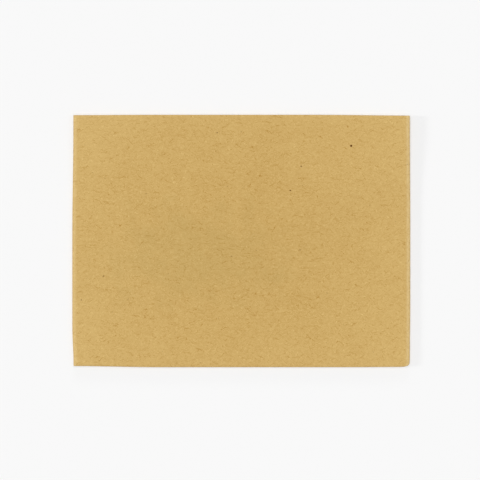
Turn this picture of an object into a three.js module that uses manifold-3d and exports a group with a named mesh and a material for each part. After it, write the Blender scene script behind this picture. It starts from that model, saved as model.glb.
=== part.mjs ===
// A kraft paper envelope, closed and lying face up. It is one die-cut sheet, folded and glued.
//
// Millimetres, +Z up. The origin is on the surface that it lies on, under the middle of the
// envelope. +X runs along the width, and +Y points at the top fold.
//
// The address panel is uppermost, and each of its four edges is a fold. Everything else hangs
// from those folds and is tucked beneath it: the two side flaps first, then the back panel,
// which is glued to them, and the pointed closure flap lowest of all. The pocket between the
// address panel and the back panel is open at the throat, under the closure flap.

import * as THREE from "three";
import { mergeVertices } from "three/addons/utils/BufferGeometryUtils.js";
import Module from "manifold-3d";

// Overall size of the folded envelope.
const WIDTH = 160;
const HEIGHT = 119.4;

// The sheet, the glue film, and the air that the paper's spring leaves between its layers.
const PAPER = 0.2;
const SEAM_GLUE = 0.1;
const POCKET_GAP = 0.9;
const FLAP_GAP = 0.4;

// Each fold stops this far short of the corners, where the die cuts the blank away. The corner
// at +X -Y is rounded off, by the given share of that distance.
const CORNER_NOTCH = 2.6;
const BLUNT_CORNER_SHARE = 0.9;

// Side flaps: how far they reach inwards, and how much each end narrows on the way.
const SIDE_FLAP_DEPTH = 18;
const SIDE_FLAP_TAPER = 7;
const SIDE_FLAP_CORNER = 3;

// Back panel: it stops short of the top fold by the throat, and narrows a little at each side.
const THROAT = 14;
const BACK_PANEL_TAPER = 1.5;
const BACK_PANEL_CORNER = 5;

// Closure flap: straight shoulders, then two slanting sides that meet in a rounded point.
const CLOSURE_FLAP_DEPTH = 66;
const CLOSURE_FLAP_SHOULDER = 5;
const CLOSURE_FLAP_SHOULDER_CORNER = 6;
const CLOSURE_FLAP_POINT = 12;

// Bare paper around the glue that joins the side flaps to the back panel.
const SEAM_MARGIN = 3;

// How far a fold laps onto the panels that it joins, and how finely it and the corners curve.
const FOLD_LAP = 0.5;
const CURVE_STEPS = 6;

const KRAFT = { color: 0xceab69, roughness: 0.85, metalness: 0 };

// Middle height of each layer, from the surface up.
const CLOSURE_LEVEL = PAPER / 2;
const BACK_LEVEL = CLOSURE_LEVEL + PAPER + FLAP_GAP;
const SIDE_LEVEL = BACK_LEVEL + PAPER + SEAM_GLUE;
const ADDRESS_LEVEL = SIDE_LEVEL + PAPER + POCKET_GAP;

// Straight outwards from each edge of the address panel, and straight up.
const RIGHT = new THREE.Vector3(1, 0, 0);
const LEFT = new THREE.Vector3(-1, 0, 0);
const TOP = new THREE.Vector3(0, 1, 0);
const BOTTOM = new THREE.Vector3(0, -1, 0);
const UP = new THREE.Vector3(0, 0, 1);

const wasm = await Module();
wasm.setup();

// ---- Solids ----

function solidOf(geometry) {
  const bare = geometry.clone();
  bare.deleteAttribute("normal");
  bare.deleteAttribute("uv");
  const merged = mergeVertices(bare);
  return new wasm.Manifold(
    new wasm.Mesh({
      numProp: 3,
      vertProperties: new Float32Array(merged.attributes.position.array),
      triVerts: new Uint32Array(merged.index.array),
    }),
  );
}

function geometryOf(solid) {
  const mesh = solid.getMesh();
  const geometry = new THREE.BufferGeometry();
  geometry.setAttribute("position", new THREE.BufferAttribute(mesh.vertProperties, mesh.numProp));
  geometry.setIndex(new THREE.BufferAttribute(mesh.triVerts, 1));
  geometry.computeVertexNormals();
  return geometry;
}

function joined(...solids) {
  return solids.reduce((whole, next) => whole.add(next));
}

// ---- Outlines ----

// A closed outline through [x, y, radius] corners, given counter-clockwise from a sharp one. A
// corner with a radius becomes an arc that touches both of its sides.
function roundedOutline(corners) {
  const points = corners.map(([x, y]) => new THREE.Vector2(x, y));
  const outline = new THREE.Shape();
  outline.moveTo(points[0].x, points[0].y);
  points.slice(1).forEach((point, i) => {
    const radius = corners[i + 1][2];
    if (!radius) {
      outline.lineTo(point.x, point.y);
      return;
    }
    const back = points[i].clone().sub(point).normalize();
    const onward = points[(i + 2) % points.length].clone().sub(point).normalize();
    const halfAngle = Math.acos(back.dot(onward)) / 2;
    const inward = back.clone().add(onward).normalize();
    const middle = point.clone().addScaledVector(inward, radius / Math.sin(halfAngle));
    const start = point.clone().addScaledVector(back, radius / Math.tan(halfAngle)).sub(middle);
    const end = point.clone().addScaledVector(onward, radius / Math.tan(halfAngle)).sub(middle);
    outline.absarc(middle.x, middle.y, radius, start.angle(), end.angle(), false);
  });
  outline.closePath();
  return outline;
}

// ---- Paper ----

// A flat piece of the sheet, with its middle at the height `level`.
function panel(outline, level) {
  const geometry = new THREE.ExtrudeGeometry(outline, {
    depth: PAPER,
    bevelEnabled: false,
    curveSegments: CURVE_STEPS,
  });
  return solidOf(geometry.translate(0, 0, level - PAPER / 2));
}

// Half the distance between two layers that a fold joins, measured to the paper's outside.
function foldReach(level) {
  return (ADDRESS_LEVEL - level) / 2 + PAPER / 2;
}

// The fold from the address panel down to the layer at `level`, in its edge's frame: the edge
// is the line x = 0, and x points outwards.
function fold(length, level) {
  const outer = foldReach(level);
  const inner = outer - PAPER;
  const height = (ADDRESS_LEVEL + level) / 2;
  const section = new THREE.Shape();
  section.moveTo(-outer - FOLD_LAP, height + outer);
  section.absarc(-outer, height, outer, Math.PI / 2, -Math.PI / 2, true);
  section.lineTo(-outer - FOLD_LAP, height - outer);
  section.lineTo(-outer - FOLD_LAP, height - inner);
  section.absarc(-outer, height, inner, -Math.PI / 2, Math.PI / 2, false);
  section.lineTo(-outer - FOLD_LAP, height + inner);
  section.closePath();
  const geometry = new THREE.ExtrudeGeometry(section, {
    depth: length,
    bevelEnabled: false,
    curveSegments: CURVE_STEPS,
  });
  geometry.applyMatrix4(new THREE.Matrix4().makeBasis(RIGHT, UP, BOTTOM));
  return solidOf(geometry.translate(0, length / 2, 0));
}

// A fold and the flap that hangs from it, in the edge's frame. `profile` lists the corners of
// one half of the flap as [distance from the edge, distance from the middle, radius].
function foldedFlap(root, level, profile) {
  const rootCorners = [
    [foldReach(level), root / 2],
    [foldReach(level) + FOLD_LAP, root / 2],
  ];
  const half = [...rootCorners, ...profile];
  const other = half.filter(([, aside]) => aside > 0).reverse();
  const outline = roundedOutline([
    ...half.map(([inwards, aside, radius]) => [-inwards, aside, radius]),
    ...other.map(([inwards, aside, radius]) => [-inwards, -aside, radius]),
  ]);
  return joined(fold(root, level), panel(outline, level));
}

// Moves a solid from an edge's frame to the edge `distance` from the middle, on the side that
// `outwards` points at.
function atEdge(solid, outwards, distance) {
  const along = new THREE.Vector3().crossVectors(UP, outwards);
  const place = new THREE.Matrix4().makeBasis(outwards, along, UP);
  place.setPosition(outwards.clone().multiplyScalar(distance));
  return solid.transform(place.elements);
}

// ---- The envelope's parts ----

const sideRoot = HEIGHT - 2 * CORNER_NOTCH;
const endRoot = WIDTH - 2 * CORNER_NOTCH;

// The uppermost layer. It is flat out to its corners, and gives way to a fold between them.
function addressPanel() {
  const corner = CORNER_NOTCH * BLUNT_CORNER_SHARE;
  const outline = roundedOutline([
    [-WIDTH / 2, HEIGHT / 2],
    [-WIDTH / 2, -HEIGHT / 2],
    [WIDTH / 2, -HEIGHT / 2, corner],
    [WIDTH / 2, HEIGHT / 2],
  ]);
  const rebate = (length, level) => {
    const box = new THREE.BoxGeometry(2 * foldReach(level), length, 2 * PAPER);
    return solidOf(box.translate(0, 0, ADDRESS_LEVEL));
  };
  return panel(outline, ADDRESS_LEVEL)
    .subtract(atEdge(rebate(sideRoot, SIDE_LEVEL), RIGHT, WIDTH / 2))
    .subtract(atEdge(rebate(sideRoot, SIDE_LEVEL), LEFT, WIDTH / 2))
    .subtract(atEdge(rebate(endRoot, BACK_LEVEL), BOTTOM, HEIGHT / 2))
    .subtract(atEdge(rebate(endRoot, CLOSURE_LEVEL), TOP, HEIGHT / 2));
}

function sideFlap() {
  return foldedFlap(sideRoot, SIDE_LEVEL, [
    [SIDE_FLAP_DEPTH, sideRoot / 2 - SIDE_FLAP_TAPER, SIDE_FLAP_CORNER],
  ]);
}

function backPanel() {
  return foldedFlap(endRoot, BACK_LEVEL, [
    [HEIGHT - THROAT, endRoot / 2 - BACK_PANEL_TAPER, BACK_PANEL_CORNER],
  ]);
}

function closureFlap() {
  return foldedFlap(endRoot, CLOSURE_LEVEL, [
    [CLOSURE_FLAP_SHOULDER, endRoot / 2, CLOSURE_FLAP_SHOULDER_CORNER],
    [CLOSURE_FLAP_DEPTH, 0, CLOSURE_FLAP_POINT],
  ]);
}

// The glue between the back panel and a side flap, in the side edge's frame. It covers the area
// that they share, less a margin, and reaches into both sheets as far as their middles.
function seamGlue() {
  const outside = CORNER_NOTCH + BACK_PANEL_TAPER + SEAM_MARGIN;
  const inside = SIDE_FLAP_DEPTH - SEAM_MARGIN;
  const lowest = CORNER_NOTCH + SIDE_FLAP_TAPER + SEAM_MARGIN;
  const highest = HEIGHT - THROAT - BACK_PANEL_CORNER - SEAM_MARGIN;
  return new THREE.BoxGeometry(inside - outside, highest - lowest, SEAM_GLUE + PAPER).translate(
    WIDTH / 2 - (inside + outside) / 2,
    (highest + lowest - HEIGHT) / 2,
    (BACK_LEVEL + SIDE_LEVEL) / 2,
  );
}

// ---- Assembly ----

const envelope = joined(
  addressPanel(),
  atEdge(sideFlap(), RIGHT, WIDTH / 2),
  atEdge(sideFlap(), LEFT, WIDTH / 2),
  atEdge(backPanel(), BOTTOM, HEIGHT / 2),
  atEdge(closureFlap(), TOP, HEIGHT / 2),
  solidOf(seamGlue()),
  solidOf(seamGlue()).mirror(RIGHT.toArray()),
);

const mesh = new THREE.Mesh(geometryOf(envelope), new THREE.MeshStandardMaterial(KRAFT));
mesh.name = "envelope";

const group = new THREE.Group();
group.add(mesh);

export default group;
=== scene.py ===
"""A closed kraft paper envelope, lying face up on a pale floor, seen from straight above.

The envelope is modelled as it is made. Its flat blank is laid out as a grid, and one function,
fold_up, carries each point of the blank to its place in the folded envelope. Its lengths are in
millimetres, and turn into metres where its mesh is made. The stage is in metres.
"""

import math

import bpy
import numpy as np
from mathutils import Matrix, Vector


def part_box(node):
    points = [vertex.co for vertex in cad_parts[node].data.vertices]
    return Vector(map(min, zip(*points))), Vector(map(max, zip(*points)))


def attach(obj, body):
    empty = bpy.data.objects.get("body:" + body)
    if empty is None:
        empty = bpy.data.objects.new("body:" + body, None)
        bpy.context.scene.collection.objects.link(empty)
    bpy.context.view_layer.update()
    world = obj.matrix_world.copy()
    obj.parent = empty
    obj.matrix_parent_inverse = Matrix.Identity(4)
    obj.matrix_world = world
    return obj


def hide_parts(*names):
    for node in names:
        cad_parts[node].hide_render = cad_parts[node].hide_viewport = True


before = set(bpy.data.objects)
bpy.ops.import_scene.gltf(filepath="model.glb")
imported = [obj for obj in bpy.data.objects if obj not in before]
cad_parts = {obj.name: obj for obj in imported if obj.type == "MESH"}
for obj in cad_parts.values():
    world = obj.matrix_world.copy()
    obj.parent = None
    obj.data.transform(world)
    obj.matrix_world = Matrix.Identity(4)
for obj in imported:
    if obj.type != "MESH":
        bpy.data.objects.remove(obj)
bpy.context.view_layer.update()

MM = 0.001
LOW, HIGH = (np.array(corner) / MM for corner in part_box("envelope"))

# ---- Sizes, in millimetres ----

WIDTH, HEIGHT, THICKNESS = HIGH - LOW
HALF_WIDTH, HALF_HEIGHT = WIDTH / 2, HEIGHT / 2

# The sheet, and the middle height of each layer, from the floor up.
PAPER = 0.2
CLOSURE_LEVEL = 0.1
BACK_LEVEL = 0.7
SIDE_LEVEL = 1.0
ADDRESS_LEVEL = THICKNESS - PAPER / 2

# Each flap: how deep it reaches in from its edge, and its corners. The back panel stops short of
# the top fold by the throat.
THROAT = 14.0
SIDE_FLAP = {"depth": 18.0, "taper": 7.0, "corner": 3.0}
BACK_PANEL = {"depth": HEIGHT - THROAT, "taper": 1.5, "corner": 5.0}
CLOSURE_FLAP = {"depth": 66.0, "shoulder": 5.0, "shoulder_corner": 6.0, "point": 12.0}

# The back panel lies higher between the side flaps than under them. The step runs along their
# inner edges: its height, its width, and the length over which it grows from the bottom fold.
SEAM_STEP = 0.22
SEAM_STEP_WIDTH = 2.5
SEAM_STEP_START = 6.0

# How the outline departs from a rectangle: towards each corner, an edge draws in. Each row has
# how far it draws in, and where that begins and ends, as shares of the way from the edge's middle.
LEFT_TOP_TUCK = (0.57, 0.10, 0.90)
LEFT_BOTTOM_TUCK = (0.57, 0.68, 0.98)
RIGHT_TOP_TUCK = (0.26, 0.20, 0.90)
RIGHT_BOTTOM_TUCK = (0.20, 0.50, 0.90)
TOP_LEFT_TUCK = (0.12, 0.55, 0.95)
TOP_RIGHT_TUCK = (0.38, 0.40, 1.10)
BOTTOM_LEFT_TUCK = (0.52, 0.50, 0.98)
BOTTOM_RIGHT_TUCK = (0.12, 0.60, 1.00)

# The bottom right corner is blunt. It is part of an ellipse of this half width and half height.
BLUNT_WIDTH = 4.2
BLUNT_HEIGHT = 2.4

# The address panel's soft waves, which only ever lower it: how deep they are, and their ripples,
# each (strength, radians for each millimetre of x, the same for y, phase).
WAVE_DEPTH = 0.22
RIPPLES = [
    (1.0, 1 / 31, 0, 0.6),
    (0.7, -1 / 55, 1 / 23, 1.9),
    (0.5, 1 / 17, 1 / 29, 0),
]

# Beyond the closure flap, the other layers sink by this much, and need this much room for it.
SAG = 0.56
SAG_REACH = 34.0

# Grid spacing on the flat parts of the blank, the least spacing of a flap's rows, and how many
# pieces its corners and the closure flap's point are drawn with.
PANEL_STEP = 2.4
FLAP_STEP = 2.4
LEAST_STEP = 0.02
CORNER_PIECES = 6
POINT_PIECES = 24

# The closure flap ends at its last row that is wider than this, on each side of its middle.
POINT_ROW = 0.3

# Faces that meet at a sharper angle than this, as at the sheet's cut edges, aren't smoothed.
SHARP_ANGLE = math.radians(50)


# ---- Folds ----


class Fold:
    """The line that the paper's middle follows over one fold, from panel to flap.

    Over the length `shoulder` the panel bends down to the angle `slope`. The paper turns back at
    a tight crease of the radius `crease`. From there the flap springs away, and levels out at
    the height `level` over the length `relax`. `travel` is the distance along the paper, `out`
    the place relative to the envelope's edge, and `rise` the height relative to the address
    panel. `crest` is the number of the outermost row.
    """

    # Rows in each of a fold's four stages.
    STEPS = 7

    def __init__(self, level, shoulder, slope, crease, relax):
        # The height left after the shoulder and the crease, and the angle that the flap springs
        # away at to take it up.
        fall = ADDRESS_LEVEL - level - shoulder * slope / 2 - 2 * crease
        spring = 2 * fall / relax
        down, flat = math.pi / 2, math.pi
        stages = [
            (0, slope, shoulder),
            (slope, down, crease * (down - slope)),
            (down, flat - spring, crease * (down - spring)),
            (flat - spring, flat, relax),
        ]
        travel, out, rise = [0.0], [0.0], [0.0]
        for start, end, length in stages:
            piece = length / self.STEPS
            for k in range(self.STEPS):
                heading = start + (end - start) * (k + 0.5) / self.STEPS
                travel.append(travel[-1] + piece)
                out.append(out[-1] + piece * math.cos(heading))
                rise.append(rise[-1] - piece * math.sin(heading))
        self.crest = 2 * self.STEPS
        self.travel = np.array(travel)
        self.out = np.array(out) - out[self.crest] - PAPER / 2
        # The flap makes good what the steps miss, so that it ends at its own level.
        miss = level - ADDRESS_LEVEL - rise[-1]
        late = np.clip((self.travel - self.travel[self.crest]) / relax, 0, 1)
        self.rise = np.array(rise) + miss * late

    def place(self, travelled):
        """(out, rise) at a distance along the paper from the fold's start."""
        beyond = np.maximum(travelled - self.travel[-1], 0)
        out = np.interp(travelled, self.travel, self.out) + np.minimum(travelled, 0) - beyond
        return out, np.interp(travelled, self.travel, self.rise)

    def travel_at(self, inwards):
        """Distance along the paper to the place on the flap that far in from the edge."""
        flap = slice(self.crest, None)
        bend = np.interp(inwards, -self.out[flap], self.travel[flap])
        return bend + np.maximum(inwards + self.out[-1], 0)


SIDE_FOLD = Fold(SIDE_LEVEL, shoulder=2.2, slope=0.2, crease=0.24, relax=6.0)
BOTTOM_FOLD = Fold(BACK_LEVEL, shoulder=1.2, slope=0.16, crease=0.3, relax=5.0)
TOP_FOLD = Fold(CLOSURE_LEVEL, shoulder=1.2, slope=0.16, crease=0.36, relax=14.0)

# Where the panel's flat part ends, measured from the middle of the blank.
SIDE_START = HALF_WIDTH + SIDE_FOLD.out[0]
BOTTOM_START = HALF_HEIGHT + BOTTOM_FOLD.out[0]
TOP_START = HALF_HEIGHT + TOP_FOLD.out[0]


def smooth(value):
    """0 below 0, 1 above 1, and an even curve between them."""
    t = np.clip(value, 0, 1)
    return t * t * (3 - 2 * t)


def cross(flat, low_start, low_fold, low_half, high_start, high_fold, high_half):
    """Folds one coordinate of the blank: (place, rise), with a fold at either end."""
    high_out, high_rise = high_fold.place(flat - high_start)
    low_out, low_rise = low_fold.place(-flat - low_start)
    place = np.where(flat > high_start, high_half + high_out, flat)
    place = np.where(flat < -low_start, -low_half - low_out, place)
    return place, high_rise + low_rise


def draw_in(share, high_tuck, low_tuck):
    """How far an edge draws in at a place from -1 to 1 along it."""
    total = 0
    for way, (depth, begin, end) in ((share, high_tuck), (-share, low_tuck)):
        total = total + depth * smooth((way - begin) / (end - begin))
    return total


def settle(x, y):
    """Bends the outline from a rectangle to the worn envelope's own."""
    across, up = x / HALF_WIDTH, y / HALF_HEIGHT
    left_in = draw_in(up, LEFT_TOP_TUCK, LEFT_BOTTOM_TUCK)
    right_in = draw_in(up, RIGHT_TOP_TUCK, RIGHT_BOTTOM_TUCK)
    top_in = draw_in(across, TOP_RIGHT_TUCK, TOP_LEFT_TUCK)
    bottom_in = draw_in(across, BOTTOM_RIGHT_TUCK, BOTTOM_LEFT_TUCK)
    x = x - across * np.where(x < 0, left_in, right_in)
    y = y - up * np.where(y < 0, bottom_in, top_in)
    # At the blunt corner, lines that ran parallel to the two edges become arcs.
    from_right = np.clip(1 - (HALF_WIDTH - x) / BLUNT_WIDTH, 0, 1)
    from_bottom = np.clip(1 - (HALF_HEIGHT + y) / BLUNT_HEIGHT, 0, 1)
    x = x - BLUNT_WIDTH * from_right * (1 - np.sqrt(1 - from_bottom**2 / 2))
    y = y + BLUNT_HEIGHT * from_bottom * (1 - np.sqrt(1 - from_right**2 / 2))
    return x, y


def wave(x, y):
    """How far the address panel dips at a place: soft, irregular, and never upwards."""
    height = sum(strength * np.sin(x * a + y * b + phase) for strength, a, b, phase in RIPPLES)
    highest = sum(row[0] for row in RIPPLES)
    return WAVE_DEPTH * (1 - height / highest) / 2


def sag(x, y):
    """How far all layers sink towards the floor, beyond the closure flap that holds them up."""
    flap_edge = HALF_HEIGHT - CLOSURE_FLAP["shoulder"]
    flap_slant = (CLOSURE_FLAP["depth"] - CLOSURE_FLAP["shoulder"]) / HALF_WIDTH
    beyond = flap_edge - flap_slant * (HALF_WIDTH - np.abs(x)) - y
    return SAG * smooth(beyond / SAG_REACH)


def fold_up(u, v):
    """Carries points of the flat blank to their places in the folded envelope."""
    x, x_rise = cross(u, SIDE_START, SIDE_FOLD, HALF_WIDTH, SIDE_START, SIDE_FOLD, HALF_WIDTH)
    y, y_rise = cross(v, BOTTOM_START, BOTTOM_FOLD, HALF_HEIGHT, TOP_START, TOP_FOLD, HALF_HEIGHT)
    # Where two folds meet at a corner, their falls blend into the deeper of the two.
    z = ADDRESS_LEVEL - np.cbrt(np.abs(x_rise) ** 3 + np.abs(y_rise) ** 3)
    on_back = smooth((-v - BOTTOM_START - BOTTOM_FOLD.travel[-1]) / SEAM_STEP_START)
    inner_edge = HALF_WIDTH - SIDE_FLAP["depth"]
    z = z + on_back * SEAM_STEP * smooth((inner_edge - np.abs(x)) / SEAM_STEP_WIDTH)
    # Only the address panel has the waves, and its folds lead them out.
    z = z - wave(x, y) * smooth((z - BACK_LEVEL) / (ADDRESS_LEVEL - BACK_LEVEL))
    z = z - sag(x, y)
    x, y = settle(x, y)
    return np.stack([x, y, z], axis=-1)


# ---- The blank ----


def arc_points(before, corner, after, radius, count=CORNER_PIECES):
    """Points of the arc that rounds a corner, in `count` pieces, between its two neighbours."""
    before, corner, after = (np.array(p, float) for p in (before, corner, after))
    back = (before - corner) / np.linalg.norm(before - corner)
    onward = (after - corner) / np.linalg.norm(after - corner)
    half_angle = math.acos(float(back @ onward)) / 2
    inward = (back + onward) / np.linalg.norm(back + onward)
    middle = corner + inward * radius / math.sin(half_angle)
    start = corner + back * radius / math.tan(half_angle) - middle
    end = corner + onward * radius / math.tan(half_angle) - middle
    turn = math.atan2(start[0] * end[1] - start[1] * end[0], float(start @ end))
    points = []
    for k in range(count + 1):
        angle = turn * k / count
        cosine, sine = math.cos(angle), math.sin(angle)
        spoke = [start[0] * cosine - start[1] * sine, start[0] * sine + start[1] * cosine]
        points.append(middle + spoke)
    return points


def tapered_outline(root, flap):
    """One half of a square-ended flap's edge, as (distance in from the edge, half width)."""
    end = (flap["depth"], root - flap["taper"])
    return [(0, root), *arc_points((0, root), end, (end[0], 0), flap["corner"])]


def closure_outline(root):
    """One half of the closure flap's edge, in the same form."""
    shoulder = (CLOSURE_FLAP["shoulder"], root)
    point = (CLOSURE_FLAP["depth"], 0)
    other_shoulder = (CLOSURE_FLAP["shoulder"], -root)
    tip = arc_points(shoulder, point, other_shoulder, CLOSURE_FLAP["point"], POINT_PIECES)
    half_tip = [p for p in tip if p[1] > POINT_ROW]
    return [
        (0, root),
        *arc_points((0, root), shoulder, point, CLOSURE_FLAP["shoulder_corner"]),
        *half_tip,
    ]


class Blank:
    """The flat sheet as vertices (u, v) and quads, wound anticlockwise."""

    def __init__(self):
        self.points = []
        self.quads = []

    def add_point(self, u, v):
        self.points.append((u, v))
        return len(self.points) - 1

    def add_grid(self, rows):
        """Quads between neighbouring rows of vertex numbers."""
        for row, following in zip(rows, rows[1:]):
            for k in range(len(row) - 1):
                quad = (row[k], following[k], following[k + 1], row[k + 1])
                self.quads.append(quad if self.area(quad) > 0 else quad[::-1])

    def area(self, quad):
        """Twice a quad's area, above 0 where it is wound anticlockwise."""
        p = [self.points[i] for i in quad]
        return sum(a[0] * b[1] - b[0] * a[1] for a, b in zip(p, p[1:] + p[:1]))

    def add_panel(self, us, vs):
        """A rectangle of quads. Returns its vertex numbers, as a column for each u."""
        numbers = [[self.add_point(u, v) for v in vs] for u in us]
        self.add_grid(numbers)
        return numbers

    def add_flap(self, root_numbers, root, fold, start, outline, place):
        """Rows of a flap, from the crest of its fold to its end.

        `root_numbers` are the vertices along the crest, and `root` is half its length. `start`
        is where the fold begins. `outline` is one half of the flap's edge, as (distance in from
        the edge, half width), and `place` turns (distance along the paper, place along the
        fold) into (u, v).
        """
        outline_in, outline_half = np.array(outline, float).T
        fold_rows = [-fold.out[k] for k in range(fold.crest + 1, len(fold.out))]
        straight = np.arange(-fold.out[-1] + FLAP_STEP, outline_in[-1], FLAP_STEP)
        wanted = sorted([*fold_rows, *straight, *outline_in[outline_in > -fold.out[-1]]])
        rows = [root_numbers]
        last = 0
        for inwards in wanted:
            if inwards - last < LEAST_STEP:
                continue
            last = inwards
            share = np.interp(inwards, outline_in, outline_half) / root
            along = [place_along * share for place_along in self.along(root_numbers, place)]
            travelled = start + fold.travel_at(inwards)
            rows.append([self.add_point(*place(travelled, a)) for a in along])
        self.add_grid(rows)

    def along(self, numbers, place):
        """Places along the fold of vertices in its first row."""
        axis = 1 if place(1, 0)[0] else 0
        return [self.points[i][axis] for i in numbers]


def grid_lines(low_start, low_fold, high_start, high_fold):
    """Places of the panel's grid lines: close together where the folds curve."""
    count = round((low_start + high_start) / PANEL_STEP)
    low = -low_start - low_fold.travel[low_fold.crest : 0 : -1]
    high = high_start + high_fold.travel[1 : high_fold.crest + 1]
    return [*low, *np.linspace(-low_start, high_start, count + 1), *high]


def make_blank():
    """The flat sheet: (vertices (u, v), quads)."""
    blank = Blank()
    us = grid_lines(SIDE_START, SIDE_FOLD, SIDE_START, SIDE_FOLD)
    vs = grid_lines(BOTTOM_START, BOTTOM_FOLD, TOP_START, TOP_FOLD)
    panel = blank.add_panel(us, vs)
    rows = [j for j, v in enumerate(vs) if -BOTTOM_START <= v <= TOP_START]
    columns = [i for i, u in enumerate(us) if -SIDE_START <= u <= SIDE_START]
    left = [panel[0][j] for j in rows]
    right = [panel[-1][j] for j in rows]
    bottom = [panel[i][0] for i in columns]
    top = [panel[i][-1] for i in columns]
    side_root = min(BOTTOM_START, TOP_START)
    side = tapered_outline(side_root, SIDE_FLAP)
    back = tapered_outline(SIDE_START, BACK_PANEL)
    closure = closure_outline(SIDE_START)
    blank.add_flap(right, side_root, SIDE_FOLD, SIDE_START, side, lambda t, a: (t, a))
    blank.add_flap(left, side_root, SIDE_FOLD, SIDE_START, side, lambda t, a: (-t, a))
    blank.add_flap(bottom, SIDE_START, BOTTOM_FOLD, BOTTOM_START, back, lambda t, a: (a, -t))
    blank.add_flap(top, SIDE_START, TOP_FOLD, TOP_START, closure, lambda t, a: (a, t))
    return np.array(blank.points), np.array(blank.quads)


def vertex_normals(points, quads):
    """Each vertex's normal, averaged over its quads by their size."""
    corners = points[quads]
    normals = np.cross(corners[:, 2] - corners[:, 0], corners[:, 3] - corners[:, 1])
    total = np.zeros_like(points)
    for k in range(4):
        np.add.at(total, quads[:, k], normals)
    return total / np.linalg.norm(total, axis=1, keepdims=True)


def rim_edges(quads):
    """The sheet's rim: directed edges that only one quad has."""
    edges = np.concatenate([np.stack([quads[:, k], quads[:, (k + 1) % 4]], 1) for k in range(4)])
    known = {tuple(e) for e in edges.tolist()}
    return [e for e in known if (e[1], e[0]) not in known]


def make_envelope():
    """The folded sheet with its thickness. Its UVs are its places on the flat blank."""
    flat, quads = make_blank()
    middle = fold_up(flat[:, 0], flat[:, 1])
    normals = vertex_normals(middle, quads)
    count = len(flat)
    points = np.concatenate([middle + normals * PAPER / 2, middle - normals * PAPER / 2])
    faces = [tuple(q) for q in quads.tolist()]
    faces += [tuple(i + count for i in reversed(q)) for q in quads.tolist()]
    faces += [(b, a, a + count, b + count) for a, b in sorted(rim_edges(quads))]
    mesh = bpy.data.meshes.new("envelope_paper")
    mesh.from_pydata((points * MM).tolist(), [], faces)
    layout = mesh.uv_layers.new(name="blank")
    both_sides = np.concatenate([flat, flat])
    vertex_of_corner = np.zeros(len(mesh.loops), np.int32)
    mesh.loops.foreach_get("vertex_index", vertex_of_corner)
    layout.data.foreach_set("uv", both_sides[vertex_of_corner].astype(np.float32).ravel())
    mesh.shade_smooth()
    mesh.set_sharp_from_angle(angle=SHARP_ANGLE)
    envelope = bpy.data.objects.new("envelope_paper", mesh)
    bpy.context.scene.collection.objects.link(envelope)
    return envelope


# ---- Kraft paper ----


class Shader:
    """One material's nodes. An input is a number, a tuple, or another node's output."""

    def __init__(self, name):
        self.material = bpy.data.materials.new(name)
        self.material.use_nodes = True
        self.nodes = self.material.node_tree.nodes
        self.links = self.material.node_tree.links
        self.surface = self.nodes["Principled BSDF"]

    def node(self, kind, inputs, **settings):
        made = self.nodes.new(kind)
        for name, value in settings.items():
            setattr(made, name, value)
        for key, value in inputs.items():
            self.feed(made.inputs[key], value)
        return made.outputs

    def feed(self, socket, value):
        if isinstance(value, bpy.types.NodeSocket):
            self.links.new(value, socket)
        else:
            socket.default_value = value

    def math(self, operation, *values):
        return self.node("ShaderNodeMath", dict(enumerate(values)), operation=operation)[0]

    def vector(self, operation, *values):
        return self.node("ShaderNodeVectorMath", dict(enumerate(values)), operation=operation)[0]

    def product(self, first, *others):
        for value in others:
            first = self.math("MULTIPLY", first, value)
        return first

    def total(self, first, *others):
        for value in others:
            first = self.math("ADD", first, value)
        return first

    def ramp(self, value, start, end, low=0.0, high=1.0):
        """`low` up to `start`, `high` from `end` on, and an even curve between."""
        inputs = {"Value": value, "From Min": start, "From Max": end, "To Min": low, "To Max": high}
        return self.node("ShaderNodeMapRange", inputs, interpolation_type="SMOOTHSTEP")[0]

    def mix(self, share, first, second):
        return self.node("ShaderNodeMix", {0: share, 6: first, 7: second}, data_type="RGBA")[2]


# How softly a fibre, a curl and a speck end. A fibre's core is this share of its width, and it
# keeps its full strength for this share of its length on each side of its middle.
FIBRE_CORE = 0.3
FIBRE_FADE = 0.25
CURL_CORE = 0.2
SPECK_CORE, SPECK_EDGE = 0.5, 1.2
SPOT_CORE, SPOT_EDGE = 0.6, 1.1

# The detail in the noise whose level lines are the curls.
CURL_DETAIL = 1.5

# The noise that breaks up the curls: its detail, its scale as a share of theirs, how far away it
# is taken, the level below which there is no curl, how much that level falls from no curls to a
# full share of them, and how far above it they are whole.
GAP_DETAIL = 2.0
GAP_SCALE = 0.9
GAP_OFFSET = 7.7
GAP_LEVEL = 0.62
GAP_FALL = 0.3
GAP_SOFTNESS = 0.1

# How differently a mosaic's second coordinate is offset from its first.
MOSAIC_SKEW = 1.7


def noise(shader, place, scale, detail=3.0, stretch=1.0, angle=0.0, offset=0.0):
    """Noise about 0.5, drawn out by `stretch` along a direction. `scale` is per millimetre."""
    inputs = {
        "Vector": place,
        "Location": (offset, offset, 0),
        "Rotation": (0, 0, angle),
        "Scale": (1 / stretch, stretch, 1),
    }
    turned = shader.node("ShaderNodeMapping", inputs)["Vector"]
    inputs = {"Vector": turned, "Scale": scale, "Detail": detail, "Roughness": 0.6}
    return shader.node("ShaderNodeTexNoise", inputs, noise_dimensions="2D")[0]


def around_zero(shader, place, *settings):
    """The same noise, about 0."""
    return shader.math("SUBTRACT", noise(shader, place, *settings), 0.5)


def layers_of_noise(shader, place, layers):
    """The sum of noises about 0, each given as (amount, scale, detail, stretch, angle, offset)."""
    return shader.total(
        *(shader.product(around_zero(shader, place, *row), amount) for amount, *row in layers)
    )


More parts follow.
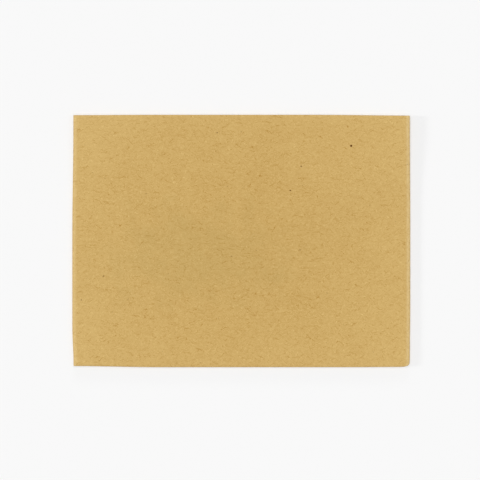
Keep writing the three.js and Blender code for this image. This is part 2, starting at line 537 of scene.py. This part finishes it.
def curls(shader, place, scale, width, share, strength, stretch, angle, offset):
    """Thin curling fibres: level lines of a noise, broken up by a second noise."""
    away = around_zero(shader, place, scale, CURL_DETAIL, stretch, angle, offset)
    edge = width * scale
    line = shader.ramp(shader.math("ABSOLUTE", away), edge * CURL_CORE, edge, strength, 0)
    gaps = (scale * GAP_SCALE, GAP_DETAIL, stretch, angle, offset + GAP_OFFSET)
    presence = noise(shader, place, *gaps)
    level = GAP_LEVEL - GAP_FALL * share
    return shader.product(line, shader.ramp(presence, level, level + GAP_SOFTNESS))


def mosaic(shader, place, cell, offset):
    """Splits the sheet into random cells: (place from the cell's middle, three random shares)."""
    start = (offset, offset * MOSAIC_SKEW, 0)
    spot = shader.vector("MULTIPLY_ADD", place, (1 / cell,) * 3, start)
    inputs = {"Vector": spot, "Scale": 1.0, "Randomness": 1.0}
    cells = shader.node("ShaderNodeTexVoronoi", inputs, voronoi_dimensions="2D")
    away = shader.vector("SUBTRACT", spot, cells["Position"])
    away = shader.vector("MULTIPLY", away, (cell,) * 3)
    shares = shader.node("ShaderNodeSeparateColor", {"Color": cells["Color"]})
    return away, shares["Red"], shares["Green"], shares["Blue"]


def fibres(shader, place, cell, length, width, spread, curl, share, strength, offset):
    """Short curved fibres, one at most in each cell of a mosaic. `share` of the cells have one,
    and `spread` is the range of their angles.
    """
    away, first, second, third = mosaic(shader, place, cell, offset)
    angle = shader.product(shader.math("SUBTRACT", first, 0.5), spread)
    inputs = {"Vector": away, "Angle": angle}
    turned = shader.node("ShaderNodeVectorRotate", inputs, rotation_type="Z_AXIS")[0]
    axes = shader.node("ShaderNodeSeparateXYZ", {"Vector": turned})
    bend = shader.product(axes["X"], axes["X"], shader.math("SUBTRACT", second, 0.5), curl)
    aside = shader.math("ABSOLUTE", shader.total(axes["Y"], bend))
    across = shader.ramp(aside, width * FIBRE_CORE, width, strength, 0)
    from_middle = shader.math("ABSOLUTE", axes["X"])
    along = shader.ramp(from_middle, length * FIBRE_FADE, length / 2, 1, 0)
    return shader.product(across, along, shader.ramp(third, 0, share, 1, 0))


def specks(shader, place, cell, radius, share, strength, offset):
    """Small round specks, half to all of `radius` in size, in a share of a mosaic's cells."""
    away, _, second, third = mosaic(shader, place, cell, offset)
    size = shader.ramp(second, 0, 1, radius / 2, radius)
    distance = shader.node("ShaderNodeVectorMath", {0: away}, operation="LENGTH")["Value"]
    dot = shader.ramp(shader.math("DIVIDE", distance, size), SPECK_CORE, SPECK_EDGE, strength, 0)
    return shader.product(dot, shader.ramp(third, 0, share, 1, 0))


def spot_at(shader, blank, centre, radius):
    """0 to 1 on one speck at a place on the sheet."""
    inputs = {0: blank, 1: (*centre, 0)}
    distance = shader.node("ShaderNodeVectorMath", inputs, operation="DISTANCE")["Value"]
    return shader.ramp(distance, radius * SPOT_CORE, radius * SPOT_EDGE, 1, 0)


# The sheet's largest specks of bark: (place, radius, darkness).
BARK = [
    ((52.1, 45.1), 0.60, 1.0),
    ((28.4, 35.3), 0.46, 0.60),
    ((23.2, 23.9), 0.40, 0.85),
    ((-11.5, 51.2), 0.38, 0.65),
    ((-65.2, -16.7), 0.40, 0.65),
    ((-75.7, -28.1), 0.38, 0.60),
    ((27.8, -4.2), 0.38, 0.50),
]

# Layers of short fibres, each (cell, length, width, spread, curl, share, strength, offset).
DARK_FIBRES = [
    (4.8, 5.0, 0.12, 1.5, 0.3, 0.5, 0.48, 57.0),
    (3.4, 3.6, 0.11, 1.8, 0.6, 0.6, 0.40, 0.0),
    (3.0, 3.2, 0.10, 2.0, 0.8, 0.9, 0.28, 71.0),
    (2.4, 2.5, 0.10, 2.2, 0.9, 0.9, 0.36, 83.0),
    (1.8, 1.9, 0.09, 2.6, 1.1, 0.9, 0.34, 13.0),
    (1.5, 1.5, 0.09, 3.1, 1.3, 0.9, 0.32, 29.0),
]
PALE_FIBRES = [
    (2.6, 2.6, 0.11, 2.4, 0.8, 0.9, 0.18, 17.0),
    (1.9, 2.0, 0.10, 2.6, 0.9, 0.9, 0.22, 53.0),
    (1.4, 1.5, 0.10, 2.8, 1.0, 0.9, 0.26, 37.0),
]

# Layers of curling fibres, each (scale, width, share, strength, stretch, angle, offset).
DARK_CURLS = [
    (0.50, 0.08, 0.60, 0.06, 1.6, -0.4, 15.7),
    (0.80, 0.09, 0.70, 0.10, 1.4, 0.3, 21.9),
]
PALE_CURLS = [(0.70, 0.09, 0.60, 0.08, 1.3, 0.2, 27.1)]

# Layers of noise for the paper's felt and for its slow clouds, each (amount, scale, detail,
# stretch, angle, offset).
FELT = [
    (0.08, 1.3, 4.0, 1.4, 0.1, 0.0),
    (0.14, 1.9, 3.0, 1.4, 0.6, 5.0),
    (0.36, 3.2, 2.0, 1.2, -0.5, 11.0),
]
CLOUDS = [
    (0.10, 0.05, 2.0, 1.0, 0.0, 0.0),
    (0.10, 0.22, 3.0, 1.3, 0.0, 0.0),
]

# The paper's tones run from deep (0) to light (1), and OWN_TONE is its plain one.
OWN_TONE = 0.468
DEEP_KRAFT = (0.410, 0.218, 0.036, 1)
LIGHT_KRAFT = (0.770, 0.558, 0.225, 1)
BARK_COLOUR = (0.110, 0.035, 0.0005, 1)

# How far the drift can move a fibre's coordinates, from one end to the other, and its noise.
DRIFT = 1.8
DRIFT_SCALE = 0.5
DRIFT_DETAIL = 2.0

# The surface: its gloss, how deep its relief is, in metres, and how much of that the felt and
# the pale fibres have. The dark fibres have 1.
ROUGHNESS = 0.8
SPECULAR = 0.2
BUMP_STRENGTH = 0.35
BUMP_DEPTH = 0.00003
FELT_RELIEF = 6.0
PALE_RELIEF = 2.0

# Painted highlight: a sheen painted along each side fold, which pales the paper. How far in from
# its edge it reaches, the share of that where it is palest, and how pale the left and the right
# one are.
FOLD_SHEEN_KRAFT = (0.78, 0.60, 0.31, 1)
SHEEN_DEPTH = 2.4
SHEEN_CORE = 0.45
LEFT_SHEEN = 0.36
RIGHT_SHEEN = 0.66

# The brighter line of painted highlight in each: how far in from the edge it is, and the half
# widths of its core and of the whole line.
SHEEN_LINE = 1.05
SHEEN_LINE_CORE = 0.1
SHEEN_LINE_EDGE = 0.55

# Patches break up the painted sheen, and dashes its brighter line. Each has a noise, the levels of
# it between which the sheen rises, and the sheen below and above them.
PATCH_NOISE = {"scale": 0.6, "detail": 4.0, "stretch": 0.7}
PATCH_LEVELS = (0.34, 0.62)
PATCH_SHEEN = (0.3, 0.8)
DASH_NOISE = {"scale": 0.55, "detail": 2.0, "stretch": 0.6, "offset": 45.0}
DASH_LEVELS = (0.46, 0.56)
DASH_SHEEN = (0, 0.75)

# The very edge has only this share of the painted sheen, and has all of it from this far in.
SHEEN_AT_EDGE = 0.2
SHEEN_BEGINS = 0.6


def painted_fold_sheen(shader, blank):
    """How far a painted highlight, a sheen along the two side folds and in patches, pales the
    paper.
    """
    u = shader.node("ShaderNodeSeparateXYZ", {"Vector": blank})["X"]
    inwards = shader.math("SUBTRACT", HALF_WIDTH, shader.math("ABSOLUTE", u))
    patches = shader.ramp(noise(shader, blank, **PATCH_NOISE), *PATCH_LEVELS, *PATCH_SHEEN)
    dashes = shader.ramp(noise(shader, blank, **DASH_NOISE), *DASH_LEVELS, *DASH_SHEEN)
    band = shader.product(shader.ramp(inwards, SHEEN_DEPTH * SHEEN_CORE, SHEEN_DEPTH, 1, 0), patches)
    aside = shader.math("ABSOLUTE", shader.math("SUBTRACT", inwards, SHEEN_LINE))
    line = shader.product(shader.ramp(aside, SHEEN_LINE_CORE, SHEEN_LINE_EDGE, 1, 0), dashes)
    beside_crease = shader.ramp(inwards, 0, SHEEN_BEGINS, SHEEN_AT_EDGE, 1)
    strength = shader.ramp(u, -1, 1, LEFT_SHEEN, RIGHT_SHEEN)
    return shader.product(shader.math("MAXIMUM", band, line), beside_crease, strength)


# A faint olive stain from handling, left of the middle: its place, its half sizes, its colour
# and how strong it is. It fades from its core to its edge, in shares of its half sizes, and
# clouds, given like a layer of noise, move its edge in and out.
STAIN_PLACE = (-22.0, -6.0)
STAIN_REACH = (50.0, 28.0)
STAIN_COLOUR = (0.36, 0.28, 0.09, 1)
STAIN_STRENGTH = 0.15
STAIN_CORE = 0.1
STAIN_EDGE = 1.1
STAIN_CLOUDS = (1.4, 0.08, 3.0, 1.0, 0.0, 0.0)


def stain(shader, blank):
    """The stain's share of the colour: most in its middle, with an uneven edge."""
    scale = (1 / STAIN_REACH[0], 1 / STAIN_REACH[1], 0)
    offset = (-STAIN_PLACE[0] / STAIN_REACH[0], -STAIN_PLACE[1] / STAIN_REACH[1], 0)
    away = shader.vector("MULTIPLY_ADD", blank, scale, offset)
    distance = shader.node("ShaderNodeVectorMath", {0: away}, operation="LENGTH")["Value"]
    uneven = layers_of_noise(shader, blank, [STAIN_CLOUDS])
    return shader.ramp(shader.total(distance, uneven), STAIN_CORE, STAIN_EDGE, STAIN_STRENGTH, 0)


# Painted light and shade: the paper's tone rises from the middle of the panel to its edges, as
# painted light, and falls in its creases, as painted shade. Each pair is for the side edges, and
# for the top and bottom ones.
PAINTED_EDGE_LIGHT = (0.09, 0.055)
PAINTED_CREASE_SHADE = (-0.12, -0.10)
CREASE_WIDTH = 0.5


def painted_light_and_shade(shader, blank):
    """What a place's distance from the panel's edges adds to its tone: painted light towards the
    edges, and painted shade in the creases.
    """
    axes = shader.node("ShaderNodeSeparateXYZ", {"Vector": blank})
    tones = []
    for axis, half, edge, crease in zip("XY", (HALF_WIDTH, HALF_HEIGHT), PAINTED_EDGE_LIGHT, PAINTED_CREASE_SHADE):
        away = shader.math("ABSOLUTE", axes[axis])
        share = shader.math("DIVIDE", away, half)
        rise = shader.math("MINIMUM", shader.product(share, share), 1.0)
        tones.append(shader.product(rise, edge))
        aside = shader.math("ABSOLUTE", shader.math("SUBTRACT", away, half))
        tones.append(shader.ramp(aside, 0, CREASE_WIDTH, crease, 0))
    return shader.total(*tones)


def kraft_paper():
    shader = Shader("kraft_paper")
    blank = shader.node("ShaderNodeUVMap", {}, uv_map="blank")["UV"]
    # Wandering coordinates, so that no fibre is a perfect arc.
    inputs = {"Vector": blank, "Scale": DRIFT_SCALE, "Detail": DRIFT_DETAIL}
    drift = shader.node("ShaderNodeTexNoise", inputs, noise_dimensions="2D")["Color"]
    drift = shader.vector("MULTIPLY_ADD", drift, (DRIFT, DRIFT, 0), (-DRIFT / 2, -DRIFT / 2, 0))
    place = shader.vector("ADD", blank, drift)

    dark = shader.total(
        *(fibres(shader, place, *row) for row in DARK_FIBRES),
        *(curls(shader, place, *row) for row in DARK_CURLS),
        specks(shader, place, cell=4.2, radius=0.18, share=0.3, strength=0.25, offset=11.0),
    )
    pale = shader.total(
        *(fibres(shader, place, *row) for row in PALE_FIBRES),
        *(curls(shader, place, *row) for row in PALE_CURLS),
    )
    felt = layers_of_noise(shader, blank, FELT)
    clouds = layers_of_noise(shader, blank, CLOUDS)
    sunk = shader.product(dark, -1.0)
    # The tone holds painted light towards the panel's edges and painted shade in its creases.
    tone = shader.total(OWN_TONE, felt, clouds, sunk, pale, painted_light_and_shade(shader, blank))

    colour = shader.mix(tone, DEEP_KRAFT, LIGHT_KRAFT)
    colour = shader.mix(stain(shader, blank), colour, STAIN_COLOUR)
    # Painted highlight: the sheen along the side folds is painted into the colour.
    colour = shader.mix(painted_fold_sheen(shader, blank), colour, FOLD_SHEEN_KRAFT)
    small_bark = specks(shader, place, cell=9.0, radius=0.26, share=0.5, strength=0.6, offset=41.0)
    colour = shader.mix(small_bark, colour, BARK_COLOUR)
    for centre, radius, darkness in BARK:
        share = shader.product(spot_at(shader, blank, centre, radius), darkness)
        colour = shader.mix(share, colour, BARK_COLOUR)

    raised = shader.product(pale, PALE_RELIEF)
    height = shader.total(shader.product(felt, FELT_RELIEF), raised, sunk)
    inputs = {"Height": height, "Strength": BUMP_STRENGTH, "Distance": BUMP_DEPTH}
    bump = shader.node("ShaderNodeBump", inputs)["Normal"]
    shader.feed(shader.surface.inputs["Base Color"], colour)
    shader.feed(shader.surface.inputs["Normal"], bump)
    shader.feed(shader.surface.inputs["Roughness"], ROUGHNESS)
    shader.feed(shader.surface.inputs["Specular IOR Level"], SPECULAR)
    return shader.material


envelope = make_envelope()
envelope.data.materials.append(kraft_paper())
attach(envelope, "root")
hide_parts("envelope")


# ---- Stage ----


def make_floor(reach, white):
    """A matt floor that goes `reach` metres each way."""
    mesh = bpy.data.meshes.new("floor")
    corners = [(-reach, -reach, 0), (reach, -reach, 0), (reach, reach, 0), (-reach, reach, 0)]
    mesh.from_pydata(corners, [], [(0, 1, 2, 3)])
    floor = bpy.data.objects.new("floor", mesh)
    bpy.context.scene.collection.objects.link(floor)
    shader = Shader("floor_white")
    shader.feed(shader.surface.inputs["Base Color"], (white, white, white, 1))
    shader.feed(shader.surface.inputs["Roughness"], 0.9)
    shader.feed(shader.surface.inputs["Specular IOR Level"], 0.0)
    mesh.materials.append(shader.material)


def make_world(light, backdrop):
    """An even white surround. It lights the scene weakly, and the camera sees it brighter."""
    world = bpy.data.worlds.new("world")
    world.use_nodes = True
    nodes, links = world.node_tree.nodes, world.node_tree.links
    rays = nodes.new("ShaderNodeLightPath")
    strength = nodes.new("ShaderNodeMapRange")
    strength.inputs["To Min"].default_value = light
    strength.inputs["To Max"].default_value = backdrop
    links.new(rays.outputs["Is Camera Ray"], strength.inputs["Value"])
    background = nodes["Background"]
    background.inputs["Color"].default_value = (1, 1, 1, 1)
    links.new(strength.outputs["Result"], background.inputs["Strength"])
    bpy.context.scene.world = world


def add_softbox(name, toward, elevation, spread, share):
    """A distant soft light, with its angles in degrees.

    It shines from the direction `toward`, turned from +X to +Y, at the height `elevation`, and is
    `spread` wide. `share` is its part of the light on the floor.
    """
    light = bpy.data.lights.new(name, "SUN")
    light.angle = math.radians(spread)
    light.energy = share * math.pi / math.sin(math.radians(elevation))
    lamp = bpy.data.objects.new(name, light)
    lamp.rotation_euler = (math.radians(90 - elevation), 0, math.radians(toward + 90))
    bpy.context.scene.collection.objects.link(lamp)


def make_camera(lens, distance, aside, up):
    """A camera that looks straight down, placed in metres from the envelope's middle."""
    camera = bpy.data.cameras.new("camera")
    camera.lens = lens
    camera.clip_start = 0.01
    camera_object = bpy.data.objects.new("camera", camera)
    camera_object.location = (aside, up, distance)
    bpy.context.scene.collection.objects.link(camera_object)
    bpy.context.scene.camera = camera_object


make_floor(reach=5.0, white=0.9)
make_world(light=0.25, backdrop=0.94)
add_softbox("overhead_softbox", toward=135, elevation=85, spread=60, share=0.69)
add_softbox("left_softbox", toward=180, elevation=12, spread=6, share=0.066)
add_softbox("right_softbox", toward=0, elevation=30, spread=16, share=0.02)
add_softbox("top_softbox", toward=90, elevation=10, spread=7, share=0.025)
make_camera(lens=80, distance=0.5062, aside=-0.0006, up=0.0005)
bpy.context.scene.view_settings.view_transform = "Standard"
